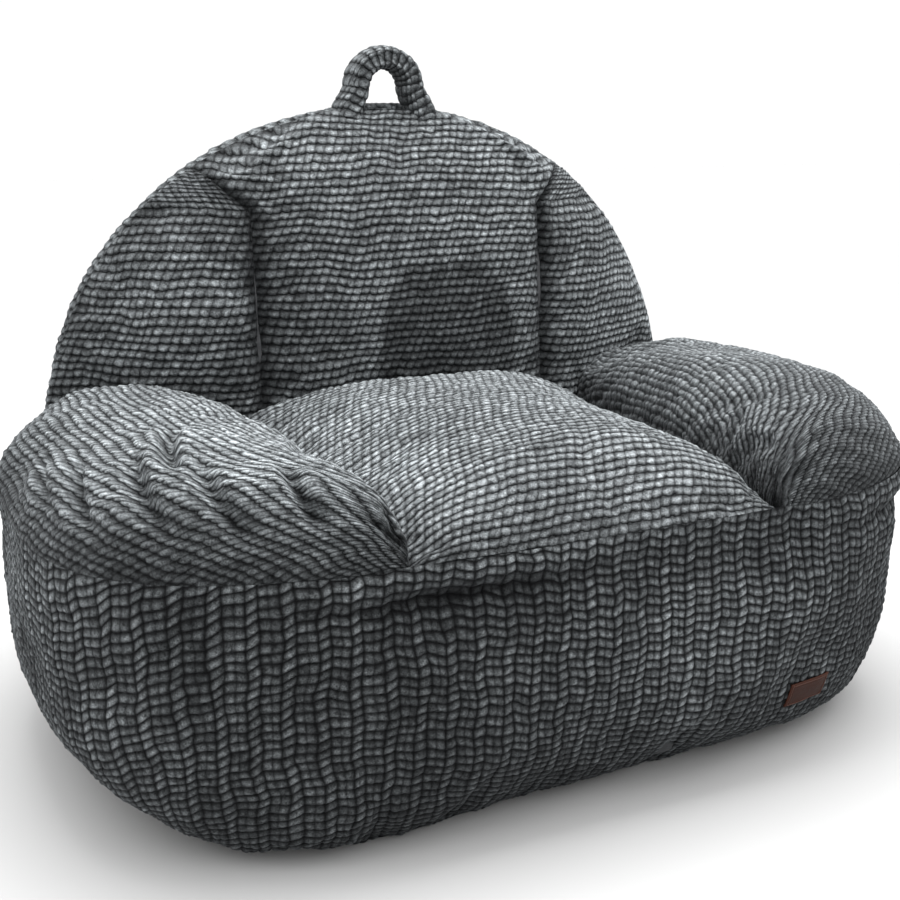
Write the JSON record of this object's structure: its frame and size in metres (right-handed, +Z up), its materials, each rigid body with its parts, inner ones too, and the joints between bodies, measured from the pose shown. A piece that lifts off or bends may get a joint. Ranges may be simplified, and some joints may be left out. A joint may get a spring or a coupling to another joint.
{
  "type": "bean bag chair",
  "caption": "Foam-filled bean bag armchair with an arched wing backrest, two bolster arms, a crowned seat, a carry loop and a rear zipper, in knitted plush.",
  "frame": {"origin": "on the floor, at the centre of the chair's bounding box in plan", "axes": "+Z up, +X towards the right arm as seen from the front, the front and the seat's front edge face -Y"},
  "size_m": [0.9604, 0.7058, 0.726],
  "materials": {
    "plush": "chunky cable-knit chenille plush, matt with a soft sheen",
    "base_fabric": "plain woven non-slip base cloth",
    "lining": "plain woven lining",
    "foam": "shredded foam",
    "label_leather": "red-brown imitation leather, embossed border",
    "zip_tape": "woven zipper tape",
    "zip_teeth": "moulded plastic",
    "zip_metal": "nickel-coloured coating"
  },
  "bodies": {
    "root": {"base_panel": "base_fabric", "front_band": "plush", "seat_panel": "plush", "arm_panel_left": "plush", "arm_panel_right": "plush", "back_centre_panel": "plush", "back_wing_left": "plush", "back_wing_right": "plush", "rear_upper_panel": "plush", "rear_lower_panel": "plush", "label_patch": "label_leather", "seat_fill": "foam", "arm_fill_left": "foam", "arm_fill_right": "foam", "back_fill": "foam", "arm_divider_left": "lining", "arm_divider_right": "lining", "back_divider": "lining", "zipper_tape_upper": "zip_tape", "zipper_tape_lower": "zip_tape", "zipper_teeth": "zip_teeth", "zipper_stops": "zip_metal"},
    "handle": {"handle_loop": "plush"},
    "slider": {"zipper_slider": "zip_metal"},
    "pull": {"zipper_pull": "zip_metal"}
  },
  "joints": [
    {"name": "handle_fold", "type": "hinge", "parent": "root", "child": "handle", "pos_m": [0, 0.178, 0.661], "axis": [1, 0, 0], "range_deg": [-50, 50], "stiffness_Nm_per_rad": 0.4},
    {"name": "zipper_travel", "type": "slide", "parent": "root", "child": "slider", "axis": [-1, 0, 0], "range_m": [0, 0.26]},
    {"name": "pull_flip", "type": "hinge", "parent": "slider", "child": "pull", "pos_m": [0.1345, 0.34732, 0.205], "axis": [0, 0, -1], "range_deg": [0, 165]}
  ]
}
